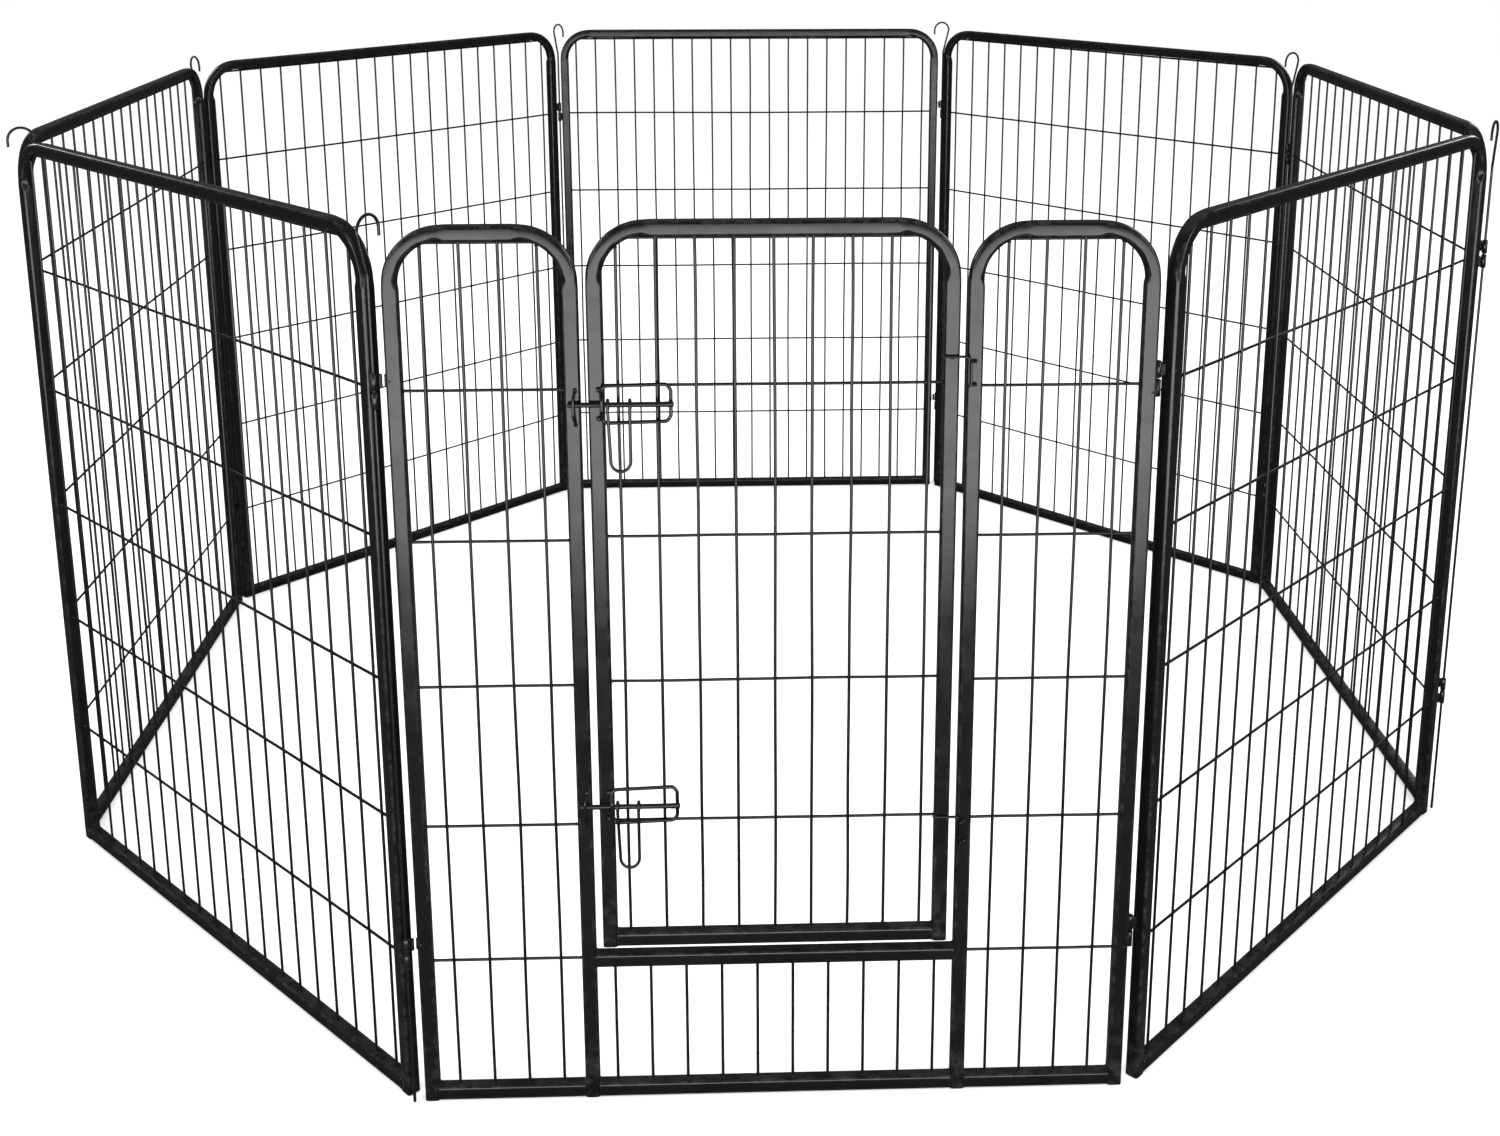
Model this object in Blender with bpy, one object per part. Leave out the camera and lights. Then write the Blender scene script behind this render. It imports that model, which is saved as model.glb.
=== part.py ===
"""Octagonal steel playpen: seven wire-mesh panels and a gate panel, joined by drop-in hinge rods.

Metres, +Z up. The gate faces -Y. Every panel is drawn in its own frame: X to the right as seen
from outside the ring, Y towards the inside, Z up, with the origin on the floor under its middle.
"""

import math

import bmesh
import bpy
from mathutils import Matrix, Vector

# The ring
PANEL_NAMES = (
    "gate", "panel_front_left", "panel_left", "panel_back_left",
    "panel_back", "panel_back_right", "panel_right", "panel_front_right",
)
PITCH = 0.800  # side of the octagon along the tubes' middle
HEIGHT = 1.000
TURN = math.tau / len(PANEL_NAMES)
HALF_TURN = TURN / 2
APOTHEM = PITCH / 2 / math.tan(HALF_TURN)

# Square tube frames
TUBE = 0.016
TUBE_CHAMFER = 0.0018
WALL = 0.001
BEND = 0.060  # outside radius of a bend
BEND_STEPS = 4
RAIL_SHY = 0.0001  # a rail's faces stand this far inside its posts' faces
SIDE_GAP = 0.008  # from the octagon's corner to a post's side face
POST_OUT = PITCH / 2 - SIDE_GAP  # outer side face of a panel's posts

# Wire mesh
WIRE = 0.0015
WIRE_CORNER = WIRE * math.sqrt(math.pi / 2)  # mesh wires are square here, with a round wire's area
WIRE_LAYER = 0.00165  # each layer's distance from the tubes' middle
BITE = 0.0004  # how far a wire's end sits in the tube's wall
VERTICAL_PITCH = 0.040
VERTICALS = 19
HORIZONTAL_PITCH = 0.164
HORIZONTALS = tuple(0.172 + HORIZONTAL_PITCH * i for i in range(5))
HEAD_WIRE_DROP = 0.0028  # from the top tube's underside to the centre of the cross wire under it
HEAD_WIRE_REACH = 0.0225  # how far that wire runs on past the tube's straight part, into the bends

# Hinges between panels: sleeves on the posts, and rods dropped through them. The hinge lines lie
# on the ring's outer and inner faces in turn, so that the ring folds into a flat stack.
HINGE_OFFSET = 0.0085  # from the tubes' middle
SLEEVE = 0.0036
SLEEVE_BORE = 0.0024
SLEEVE_SIDES = 6
SLEEVE_LENGTH = 0.018
SLEEVE_PITCH = 0.020  # a pair's upper sleeve above its lower one
SLEEVE_PAIRS = (0.168, 0.812)  # foot of each pair
WEB_NEAR = 0.0015  # the web's faces, from the hinge line towards the tubes' middle
WEB_FAR = 0.0050
WEB_START = 0.001
ROD = 0.00175
ROD_FOOT = 0.0005
CROOK = 0.016  # radius of the crook's centre line
CROOK_BACK = 0.012  # how far the rod leans back before the crook
CROOK_TOP = 0.01225  # centre line above the panels
CROOK_END = -0.012
LEAN_START = -0.050
LEAN_END = -0.022
CROOK_STEPS = 6
ROD_HEADINGS = (60, 202, -48, -49, 198, 210, 234)  # the way each crook points, from above

# Gate panel: two fixed sections, the sill between them and a door
SECTION_IN = 0.197  # inner side face of each section's inner post
SECTION_WIRES = (0.2366, 0.2754, 0.3142, 0.3530)
SILL = 0.172  # middle of the sill tube
SILL_WIRE_PITCH = 0.0393
SILL_WIRES = 10
SEAM = 0.0003
DOOR_HALF = 0.189
DOOR_FOOT = 0.190
DOOR_TOP = 1.004
DOOR_WIRE_PITCH = 0.0396
DOOR_WIRES = 9
DOOR_LIFT = 0.004  # the door's wires above the sections'
FACE = TUBE / 2  # outer face of a tube, from its middle

# Latches, by the height of each bolt
LATCHES = {"upper": 0.815, "lower": 0.363}
BOLT = 0.00275
BOLT_DEPTH = 0.0112  # bolt's centre line outside the tubes' middle
BOLT_X = (-0.210, -0.102)
BRACKET = 0.002
BRACKET_X = (-0.1755, -0.105)
BRACKET_Z = (-0.020, 0.020)
HANDLE = 0.00175
HANDLE_X = (-0.169, -0.1465)
HANDLE_DROP = 0.070
EYE = BOLT + 0.00035 + HANDLE
EYE_STEPS = 9
EYE_SWEEP = math.radians(300)
KEEPER = 0.0015
KEEPER_X = -0.202
KEEPER_Z = (-0.022, 0.015)

# Door hinges, by the height of each hook's arm
DOOR_HINGES = {"upper": 0.862, "lower": 0.343}
PIN = 0.0015
PIN_X = 0.1985
PIN_DEPTH = 0.010
PIN_DROP = 0.033
ARM_START = 0.172
STAPLE = 0.00125
STAPLE_Z = (-0.0300, -0.0052)
STAPLE_BAR = (0.2000, 0.0133)
STAPLE_BEND = (0.2030, 0.0125)
STAPLE_FOOT = (0.2038, 0.0098)

# The octagon's centre, set so that the origin is under the middle of the whole object's box
RING_CENTRE = Vector((0.00047, 0.00324, 0))


def clear_scene():
    for obj in list(bpy.data.objects):
        bpy.data.objects.remove(obj, do_unlink=True)


def paint(name, colour, roughness):
    material = bpy.data.materials.new(name)
    material.use_nodes = True
    shader = material.node_tree.nodes["Principled BSDF"]
    shader.inputs["Base Color"].default_value = (*colour, 1)
    shader.inputs["Roughness"].default_value = roughness
    shader.inputs["Metallic"].default_value = 0.0
    return material


def link(name, mesh, collection=None):
    obj = bpy.data.objects.new(name, mesh)
    (collection or bpy.context.scene.collection).objects.link(obj)
    return obj


def square_outline(half, chamfer):
    """Corners of a square, chamfered where a chamfer is given, in order round it."""
    cut = half - chamfer
    corners = []
    for quarter in range(4):
        spin = Matrix.Rotation(quarter * math.pi / 2, 2)
        ends = ((half, -cut), (half, cut)) if chamfer else ((half, half),)
        corners += [spin @ Vector(end) for end in ends]
    return corners


def add_spline(curve, points, cyclic):
    spline = curve.splines.new("POLY")
    spline.points.add(len(points) - 1)
    for target, point in zip(spline.points, points):
        target.co = (*point, 1)
    spline.use_cyclic_u = cyclic


def swept_mesh(curve):
    """The closed mesh that a bevelled curve makes, with its caps welded."""
    guide = link("sweep", curve)
    graph = bpy.context.evaluated_depsgraph_get()
    mesh = bpy.data.meshes.new_from_object(guide.evaluated_get(graph))
    bpy.data.objects.remove(guide)
    shape = bmesh.new()
    shape.from_mesh(mesh)
    bmesh.ops.remove_doubles(shape, verts=shape.verts, dist=1e-6)
    bmesh.ops.recalc_face_normals(shape, faces=shape.faces)
    shape.to_mesh(mesh)
    shape.free()
    return mesh


def wire_mesh(runs, radius, resolution=1, cyclic=False, tilt=0.0):
    """Wires along straight-segment runs of points, with 4 + 2 * resolution sides."""
    curve = bpy.data.curves.new("wire", "CURVE")
    curve.dimensions = "3D"
    curve.bevel_depth = radius
    curve.bevel_resolution = resolution
    curve.use_fill_caps = not cyclic
    for points in runs:
        add_spline(curve, [Vector(point) for point in points], cyclic)
    for spline in curve.splines:
        for point in spline.points:
            point.tilt = tilt
    return swept_mesh(curve)


def mesh_wires(runs):
    """The thin wires of a panel, with their flat sides along the panel's axes."""
    return wire_mesh(runs, WIRE_CORNER, resolution=0, tilt=math.pi / 4)


def tube_mesh(points, half, chamfer=0.0):
    """A square tube along (x, z) points in the panel's middle plane."""
    outline = bpy.data.curves.new("outline", "CURVE")
    outline.dimensions = "2D"
    add_spline(outline, [(*corner, 0) for corner in square_outline(half, chamfer)], True)
    section = link("section", outline)
    curve = bpy.data.curves.new("tube", "CURVE")
    curve.dimensions = "2D"
    curve.bevel_mode = "OBJECT"
    curve.bevel_object = section
    curve.use_fill_caps = True
    add_spline(curve, [(x, z, 0) for x, z in points], False)
    mesh = swept_mesh(curve)
    bpy.data.objects.remove(section)
    mesh.transform(Matrix.Rotation(math.pi / 2, 4, "X"))
    return mesh


def block_mesh(low, high):
    shape = bmesh.new()
    bmesh.ops.create_cube(shape, size=1.0)
    low, high = Vector(low), Vector(high)
    bmesh.ops.scale(shape, vec=high - low, verts=shape.verts)
    bmesh.ops.translate(shape, vec=(low + high) / 2, verts=shape.verts)
    mesh = bpy.data.meshes.new("block")
    shape.to_mesh(mesh)
    shape.free()
    return mesh


def post_mesh(x, y, foot, top, radius):
    """An upright bar as wide as a hinge sleeve needs."""
    shape = bmesh.new()
    bmesh.ops.create_cone(
        shape, cap_ends=True, segments=SLEEVE_SIDES, radius1=radius, radius2=radius, depth=top - foot
    )
    bmesh.ops.translate(shape, vec=(x, y, (foot + top) / 2), verts=shape.verts)
    mesh = bpy.data.meshes.new("post")
    shape.to_mesh(mesh)
    shape.free()
    return mesh


def combined(base, steps):
    """The base mesh after each (operation, mesh) Boolean in turn."""
    target = link("target", base)
    tools = []
    for operation, mesh in steps:
        tool = link("tool", mesh)
        tools.append(tool)
        modifier = target.modifiers.new(operation, "BOOLEAN")
        modifier.operation = operation
        modifier.solver = "EXACT"
        modifier.object = tool
    graph = bpy.context.evaluated_depsgraph_get()
    mesh = bpy.data.meshes.new_from_object(target.evaluated_get(graph))
    for helper in (target, *tools):
        bpy.data.objects.remove(helper)
    return mesh


def arch(left, right, foot, top, margin=0.0):
    """(x, z) points up the left post, over two bends and down the right post."""
    inset = TUBE / 2
    radius = BEND - inset
    points = [(left + inset, foot - margin)]
    for centre, start in ((left + BEND, math.pi), (right - BEND, math.pi / 2)):
        for step in range(BEND_STEPS + 1):
            angle = start - step * math.pi / 2 / BEND_STEPS
            points.append((centre + radius * math.cos(angle), top - BEND + radius * math.sin(angle)))
    points.append((right - inset, foot - margin))
    return points


def wire_end(x, left, right, top):
    """Height at which an upright wire ends: in the top tube's wall, or through it in a bend."""
    past = max(left + BEND - x, x - right + BEND, 0)
    if past == 0:
        return top - TUBE + BITE
    reach = BEND - TUBE + 3 * WALL
    return top - BEND + math.sqrt(reach**2 - past**2)


def grille(uprights, levels, left, right, foot, top):
    """The wires of a framed panel: uprights in the outer layer, cross wires in the inner one."""
    runs = []
    for x in uprights:
        end = wire_end(x, left, right, top)
        runs.append(((x, -WIRE_LAYER, foot + TUBE - BITE), (x, -WIRE_LAYER, end)))
    start, stop = left + TUBE - BITE, right - TUBE + BITE
    for z in levels:
        runs.append(((start, WIRE_LAYER, z), (stop, WIRE_LAYER, z)))
    z = top - TUBE - HEAD_WIRE_DROP
    start, stop = left + BEND - HEAD_WIRE_REACH, right - BEND + HEAD_WIRE_REACH
    runs.append(((start, WIRE_LAYER, z), (stop, WIRE_LAYER, z)))
    return mesh_wires(runs)


def sleeve_steps(side, outward, raised):
    """Booleans that add two hinge sleeves at a panel's side: -1 for its left post, 1 for its right.

    outward is 1 where the hinge line lies on the ring's outer face and -1 on its inner face.
    """
    x, y = hinge_line(side, outward)
    web_x = sorted((x - side * WEB_START, side * (POST_OUT - 0.6 * WALL)))
    web_y = sorted((y + outward * WEB_NEAR, y + outward * WEB_FAR))
    steps = []
    for pair in SLEEVE_PAIRS:
        foot = pair + raised * SLEEVE_PITCH
        top = foot + SLEEVE_LENGTH
        web = block_mesh((web_x[0], web_y[0], foot + 0.001), (web_x[1], web_y[1], top - 0.001))
        steps.append(("UNION", web))
        steps.append(("UNION", post_mesh(x, y, foot, top, SLEEVE)))
        steps.append(("DIFFERENCE", post_mesh(x, y, foot - 0.002, top + 0.002, SLEEVE_BORE)))
    return steps


def hinge_line(side, outward):
    """Where the hinge line beside a panel stands in the panel's frame."""
    return side * (PITCH / 2 + outward * HINGE_OFFSET * math.tan(HALF_TURN)), -outward * HINGE_OFFSET


def framed_panel(left, right, foot, top, uprights, levels, sleeves=()):
    """A welded panel: bent square tube, bottom rail, wire mesh and hinge sleeves."""
    inset = TUBE / 2
    bore = inset - WALL
    rail = ((left + inset, foot + inset), (right - inset, foot + inset))
    steps = [
        ("UNION", tube_mesh(rail, inset - RAIL_SHY, TUBE_CHAMFER)),
        ("DIFFERENCE", tube_mesh(arch(left, right, foot, top, margin=TUBE), bore)),
        ("DIFFERENCE", tube_mesh(rail, bore - 2 * RAIL_SHY)),
    ]
    steps += sleeves
    steps.append(("UNION", grille(uprights, levels, left, right, foot, top)))
    return combined(tube_mesh(arch(left, right, foot, top), inset, TUBE_CHAMFER), steps)


def spread(count, pitch):
    """Evenly spaced places about zero."""
    return [pitch * (i - (count - 1) / 2) for i in range(count)]


def lower_section():
    """The gate's bottom rail and sill between its two sections, with the short wires between them."""
    inset = TUBE / 2
    end = SECTION_IN - SEAM
    heights = (inset, SILL)
    steps = [("UNION", tube_mesh(((-end, SILL), (end, SILL)), inset, TUBE_CHAMFER))]
    steps += [("DIFFERENCE", tube_mesh(((-end - TUBE, z), (end + TUBE, z)), inset - WALL)) for z in heights]
    foot, top = TUBE - BITE, SILL - inset + BITE
    runs = [((x, 0, foot), (x, 0, top)) for x in spread(SILL_WIRES, SILL_WIRE_PITCH)]
    steps.append(("UNION", mesh_wires(runs)))
    return combined(tube_mesh(((-end, inset), (end, inset)), inset, TUBE_CHAMFER), steps)


def rod_mesh():
    """A hinge rod standing at the origin, its crook pointing along +X."""
    centre_x = CROOK - CROOK_BACK
    centre_z = HEIGHT + CROOK_TOP - CROOK
    points = [(0, 0, ROD_FOOT), (0, 0, HEIGHT + LEAN_START), (-CROOK_BACK, 0, HEIGHT + LEAN_END)]
    for step in range(CROOK_STEPS + 1):
        angle = math.pi * (1 - step / CROOK_STEPS)
        points.append((centre_x + CROOK * math.cos(angle), 0, centre_z + CROOK * math.sin(angle)))
    points.append((centre_x + CROOK, 0, HEIGHT + CROOK_END))
    return wire_mesh([points], ROD)


def bolt_mesh():
    return wire_mesh([((BOLT_X[0], 0, 0), (BOLT_X[1], 0, 0))], BOLT, resolution=2)


def handle_mesh():
    """A drop handle whose two eyes go round the bolt, hanging from the bolt's line at the origin."""
    radius = (HANDLE_X[1] - HANDLE_X[0]) / 2
    middle = sum(HANDLE_X) / 2
    eye = []
    for step in range(EYE_STEPS + 1):
        angle = math.pi + EYE_SWEEP * (step / EYE_STEPS - 1)
        eye.append((EYE * math.cos(angle), EYE * math.sin(angle)))
    points = [(HANDLE_X[0], y, z) for y, z in eye]
    for step in range(7):
        angle = math.pi * step / 6
        x = middle - radius * math.cos(angle)
        points.append((x, -EYE, radius - HANDLE_DROP - radius * math.sin(angle)))
    points += [(HANDLE_X[1], y, z) for y, z in reversed(eye)]
    return wire_mesh([points], HANDLE)


def bracket_mesh():
    """A closed wire loop: before the bolt at the door's stile and behind it at the other end."""
    left, right = BRACKET_X
    low, high = BRACKET_Z
    flush = BOLT_DEPTH - FACE - BRACKET - 0.0003  # wire's centre line just off the stile
    before = -(BOLT + BRACKET + 0.0005)
    behind = BOLT + BRACKET + 0.0004
    points = (
        (left - 0.003, flush, high - 0.004), (left, flush, high), (right - 0.006, behind, high),
        (right, behind, high - 0.006), (right, behind, low + 0.006), (right - 0.006, behind, low),
        (left, flush, low), (left - 0.003, flush, low + 0.004), (left + 0.001, before, -0.006),
        (left + 0.001, before, 0.006),
    )
    return wire_mesh([points], BRACKET, cyclic=True)


def keeper_mesh():
    """A bowed wire on the gate's post that the bolt slides behind."""
    low, high = KEEPER_Z
    flush = BOLT_DEPTH - FACE - KEEPER - 0.0003
    before = -(BOLT + KEEPER + 0.0005)
    points = (
        (KEEPER_X, flush, low), (KEEPER_X - 0.001, before, low + 0.010),
        (KEEPER_X - 0.001, before, 0.007), (KEEPER_X, flush, high),
    )
    return wire_mesh([points], KEEPER)


def door_hook_mesh():
    """A wire welded across the door's stile and turned down as the door's hinge pin."""
    points = (
        (ARM_START - PIN_X, 0, 0), (-0.004, 0, 0), (-0.0012, 0, -0.0012),
        (0, 0, -0.004), (0, 0, -PIN_DROP),
    )
    return wire_mesh([points], PIN)


def staple_mesh():
    """A narrow wire loop on the gate's post, in front of the door's pin."""
    low, high = STAPLE_Z
    corners = (STAPLE_FOOT, STAPLE_BEND, STAPLE_BAR)
    lower = [(x - PIN_X, PIN_DEPTH - depth, low) for x, depth in corners]
    upper = [(x - PIN_X, PIN_DEPTH - depth, high) for x, depth in reversed(corners)]
    return wire_mesh([lower + upper], STAPLE)


def panel_frame(index):
    """World matrix of a panel's own frame, counted clockwise from the gate."""
    turn = Matrix.Rotation(-TURN * index, 4, "Z")
    return Matrix.Translation(RING_CENTRE) @ turn @ Matrix.Translation((0, -APOTHEM, 0))


def outward_of(joint):
    """Hinge lines alternate: 1 on the ring's outer face, -1 on its inner face."""
    return 1 if joint % 2 == 0 else -1


class Assembly:
    """Places each part at its world matrix, under the empty or part that it moves with."""

    def __init__(self):
        self.parts = bpy.data.collections.new("pet_playpen")
        bpy.context.scene.collection.children.link(self.parts)
        self.world = {}

    def place(self, obj, world, parent=None):
        self.world[obj.name] = world
        if parent:
            obj.parent = parent
            world = self.world[parent.name].inverted() @ world
        obj.matrix_basis = world
        return obj

    def joint(self, name, world, parent=None):
        """An empty on a joint's axis."""
        return self.place(link(name, None, self.parts), world, parent)

    def part(self, name, mesh, world, parent, colour, roughness, smooth=True):
        obj = link(name, mesh, self.parts)
        if not mesh.materials:
            mesh.materials.append(paint(name, colour, roughness))
        mesh.shade_smooth()
        mesh.set_sharp_from_angle(angle=math.radians(40 if smooth else 20))
        return self.place(obj, world, parent)


COAT = (0.012, 0.012, 0.013)
BARE_COAT = (0.018, 0.018, 0.019)
COAT_ROUGHNESS = 0.32
WIRE_ROUGHNESS = 0.40


def build_gate(assembly):
    """The gate's fixed frame and hardware. Returns its empty, which stands on the floor."""
    frame = panel_frame(0)
    gate = assembly.joint("gate_root", frame)
    left = framed_panel(
        -POST_OUT, -SECTION_IN, 0, HEIGHT, [-x for x in SECTION_WIRES], HORIZONTALS,
        sleeve_steps(-1, outward_of(0), raised=1),
    )
    right = framed_panel(
        SECTION_IN, POST_OUT, 0, HEIGHT, SECTION_WIRES, HORIZONTALS,
        sleeve_steps(1, outward_of(len(PANEL_NAMES) - 1), raised=0),
    )
    for name, mesh in (
        ("gate_left_section", left), ("gate_right_section", right), ("gate_lower_section", lower_section()),
    ):
        assembly.part(name, mesh, frame, gate, COAT, COAT_ROUGHNESS, smooth=False)
    for level, z in LATCHES.items():
        spot = frame @ Matrix.Translation((0, -BOLT_DEPTH, z))
        assembly.part(f"latch_keeper_{level}", keeper_mesh(), spot, gate, BARE_COAT, WIRE_ROUGHNESS)
    for level, z in DOOR_HINGES.items():
        spot = frame @ Matrix.Translation((PIN_X, -PIN_DEPTH, z))
        assembly.part(f"door_staple_{level}", staple_mesh(), spot, gate, BARE_COAT, WIRE_ROUGHNESS)
    return gate


def build_door(assembly, gate):
    """The door, its hinge hooks, and the latches that ride on it."""
    axis = Vector((PIN_X, -PIN_DEPTH, 0))
    frame = panel_frame(0)
    hinge = assembly.joint("door_hinge", frame @ Matrix.Translation(axis), gate)
    door = framed_panel(
        -DOOR_HALF, DOOR_HALF, DOOR_FOOT, DOOR_TOP, spread(DOOR_WIRES, DOOR_WIRE_PITCH),
        [z + DOOR_LIFT for z in HORIZONTALS[1:]],
    )
    door.transform(Matrix.Translation(-axis))
    assembly.part("door", door, frame @ Matrix.Translation(axis), hinge, COAT, COAT_ROUGHNESS, smooth=False)
    for level, z in DOOR_HINGES.items():
        spot = frame @ Matrix.Translation(axis + Vector((0, 0, z)))
        assembly.part(f"door_hook_{level}", door_hook_mesh(), spot, hinge, BARE_COAT, WIRE_ROUGHNESS)
    for level, z in LATCHES.items():
        spot = frame @ Matrix.Translation((0, -BOLT_DEPTH, z))
        assembly.part(f"latch_bracket_{level}", bracket_mesh(), spot, hinge, BARE_COAT, WIRE_ROUGHNESS)
        bolt = assembly.part(f"latch_bolt_{level}", bolt_mesh(), spot, hinge, BARE_COAT, WIRE_ROUGHNESS)
        assembly.part(f"latch_handle_{level}", handle_mesh(), spot, bolt, BARE_COAT, WIRE_ROUGHNESS)


def build_panels(assembly, gate):
    """The seven mesh panels in a chain from the gate's left side, each with its hinge rod."""
    full_width = (-POST_OUT, POST_OUT, 0, HEIGHT, spread(VERTICALS, VERTICAL_PITCH), HORIZONTALS)
    meshes = {}
    parent = gate
    for index in range(1, len(PANEL_NAMES)):
        outward = outward_of(index - 1)
        axis = Vector((*hinge_line(1, outward), 0))
        if outward not in meshes:
            sleeves = sleeve_steps(1, outward, raised=0) + sleeve_steps(-1, -outward, raised=1)
            meshes[outward] = framed_panel(*full_width, sleeves)
            meshes[outward].transform(Matrix.Translation(-axis))
        world = panel_frame(index) @ Matrix.Translation(axis)
        turn = Matrix.Rotation(math.radians(ROD_HEADINGS[index - 1]), 4, "Z")
        assembly.part(
            f"hinge_rod_{index}", rod_mesh(), Matrix.Translation(world.to_translation()) @ turn,
            parent, BARE_COAT, WIRE_ROUGHNESS,
        )
        name = PANEL_NAMES[index]
        parent = assembly.joint(f"{name}_hinge", world, parent)
        assembly.part(name, meshes[outward], world, parent, COAT, COAT_ROUGHNESS, smooth=False)


def main():
    clear_scene()
    assembly = Assembly()
    gate = build_gate(assembly)
    build_door(assembly, gate)
    build_panels(assembly, gate)


main()
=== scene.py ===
"""Looks of the octagonal steel playpen: powder-coated tube frames, welded wire mesh and wire hardware.

Every panel is drawn in its own frame: X to the right as seen from outside the ring, Y towards the
inside, Z up, with the origin on the floor under its middle. Metres throughout.
"""

import math

import bpy
import numpy as np
from mathutils import Matrix, Vector


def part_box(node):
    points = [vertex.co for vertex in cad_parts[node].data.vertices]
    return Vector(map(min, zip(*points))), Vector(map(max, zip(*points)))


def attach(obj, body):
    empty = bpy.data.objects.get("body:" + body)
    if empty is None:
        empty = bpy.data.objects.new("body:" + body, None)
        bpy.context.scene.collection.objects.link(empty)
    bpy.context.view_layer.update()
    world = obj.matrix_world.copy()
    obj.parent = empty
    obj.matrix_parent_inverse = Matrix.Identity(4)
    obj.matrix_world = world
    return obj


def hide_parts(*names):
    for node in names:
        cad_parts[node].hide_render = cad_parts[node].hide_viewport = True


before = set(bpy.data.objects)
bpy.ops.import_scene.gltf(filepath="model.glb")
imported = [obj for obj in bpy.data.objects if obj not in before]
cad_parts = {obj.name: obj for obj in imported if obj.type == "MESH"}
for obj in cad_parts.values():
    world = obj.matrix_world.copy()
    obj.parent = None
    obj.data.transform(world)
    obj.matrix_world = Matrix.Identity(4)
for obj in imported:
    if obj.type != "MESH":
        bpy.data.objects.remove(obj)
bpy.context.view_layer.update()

PANELS = (
    "gate", "panel_front_left", "panel_left", "panel_back_left",
    "panel_back", "panel_back_right", "panel_right", "panel_front_right",
)
TURN = math.tau / len(PANELS)

# Square tube
TUBE = 0.016
HALF = TUBE / 2
TUBE_CORNER = 0.0030  # radius of the tube's rounded edges
WALL = 0.001
BORE_DEPTH = 0.018  # how far up a post's open foot the bore is drawn
CROWN = 0.00012  # how far a tube's flats bulge
BEND = 0.060  # outside radius of a bend
BEND_STEP = 0.003
BEND_MARGIN = 0.018  # close spacing of points runs on this far beyond each bend
COLLAPSE_REACH = 0.006  # how far a bend's dent runs into the straight tube
HEAD_WIRE_DROP = 0.0021  # from the tube's underside to the centre of the cross wire under it
HEAD_WIRE_REACH = 0.0225  # how far that wire runs on past the straight part of the tube
CRUSH = 0.0042  # how far a bend's inner edges are pushed back, leaving a ridge between them

# Wire mesh
WIRE = 0.0017  # radius
BITE = 0.0006  # how deep a wire's end goes into the tube
HEAD_NUGGET = (0.0026, 0.0024, 0.0011)  # half sizes of the weld where an upright meets the tube over it
FOOT_NUGGET = (0.0027, 0.0025, 0.0011)
SIDE_NUGGET = (0.0012, 0.0024, 0.0026)
CROSS_NUGGET = (0.0017, 0.0011, 0.0017)
BEND_NUGGET = (0.0026, 0.0022, 0.0022)
WIRE_LAYER = 0.00125  # each layer's distance from the tubes' middle
WIRE_SIDES = 8
WIRE_STEP = 0.022
SWAY = 0.0007  # how far a wire strays from straight
VERTICAL_PITCH = 0.040
VERTICALS = 19
LEVELS = [0.172 + 0.164 * i for i in range(5)]

# Hinges between panels
HINGE_OFFSET = 0.0085  # from the tubes' middle
SLEEVE = 0.0036
SLEEVE_BORE = 0.0024
SLEEVE_LENGTH = 0.018
SLEEVE_PITCH = 0.020
SLEEVE_PAIRS = (0.168, 0.812)  # foot of each pair
SIDE_GAP = 0.008  # from a post's outer side to the middle of the corner

# Gate and door
SECTION_IN = 0.197
SECTION_WIRES = (0.2366, 0.2754, 0.3142, 0.3530)
SILL = 0.172
SILL_WIRES, SILL_PITCH = 10, 0.0393
DOOR_WIRES, DOOR_PITCH = 9, 0.0396
DOOR_LIFT = 0.004

# Hardware wires, by radius, and the crook at a rod's top
ROD = 0.00175
CROOK = 0.016
CROOK_BACK = 0.012
CROOK_END = -0.012
LEAN_START, LEAN_END = -0.050, -0.022
BOLT = 0.00275
BRACKET = 0.002
HANDLE = 0.00175
KEEPER = 0.0015
PIN = 0.0015
STAPLE = 0.00125

LEAST_STEP = 0.0003  # the closest that two points of a path may lie
SLOT_COAT, SLOT_WIRE, SLOT_WELD, SLOT_BORE = range(4)

# Camera and studio
CAMERA_PLACE = (-0.0426, -2.6711, 1.3624)
CAMERA_YAW, CAMERA_PITCH, CAMERA_ROLL = -0.0344, -0.2348, 0.0001
CAMERA_LENS = 42.0
CAMERA_SHIFT = (-0.0263, -0.2)
FLOOR_REACH = 14.0
FLOOR_IN_GLOSS = 0.045  # the floor's whiteness as the coat reflects it
SKY, SKY_IN_GLOSS = 1.25, 0.10


# ---------------------------------------------------------------- shapes

class Shape:
    """Closed bodies gathered into one mesh, each with a material slot and a worn-edge value a point."""

    def __init__(self):
        self.points, self.faces, self.slots, self.edge = [], [], [], []
        self.count = 0

    def add(self, points, faces, slot=0, edge=None):
        self.points.append(points)
        self.faces += [[i + self.count for i in face] for face in faces]
        self.slots += [slot] * len(faces)
        self.edge.append(np.zeros(len(points)) if edge is None else edge)
        self.count += len(points)

    def piece(self, name, place, materials, body, nodes=()):
        """The shape as a piece that rides on a body and stands for CAD nodes."""
        points = np.concatenate(self.points)
        turn = np.array(place.to_3x3())
        points = points @ turn.T + np.array(place.translation)
        mesh = bpy.data.meshes.new(name)
        mesh.from_pydata(points.tolist(), [], self.faces)
        for material in materials:
            mesh.materials.append(material)
        mesh.polygons.foreach_set("material_index", self.slots)
        worn = mesh.attributes.new("edge", "FLOAT", "POINT")
        worn.data.foreach_set("value", np.concatenate(self.edge).astype(np.float32))
        mesh.shade_smooth()
        mesh.set_sharp_from_angle(angle=math.radians(50))
        obj = bpy.data.objects.new(name, mesh)
        bpy.context.scene.collection.objects.link(obj)
        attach(obj, body)
        if nodes:
            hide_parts(*nodes)
        return obj


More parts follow.
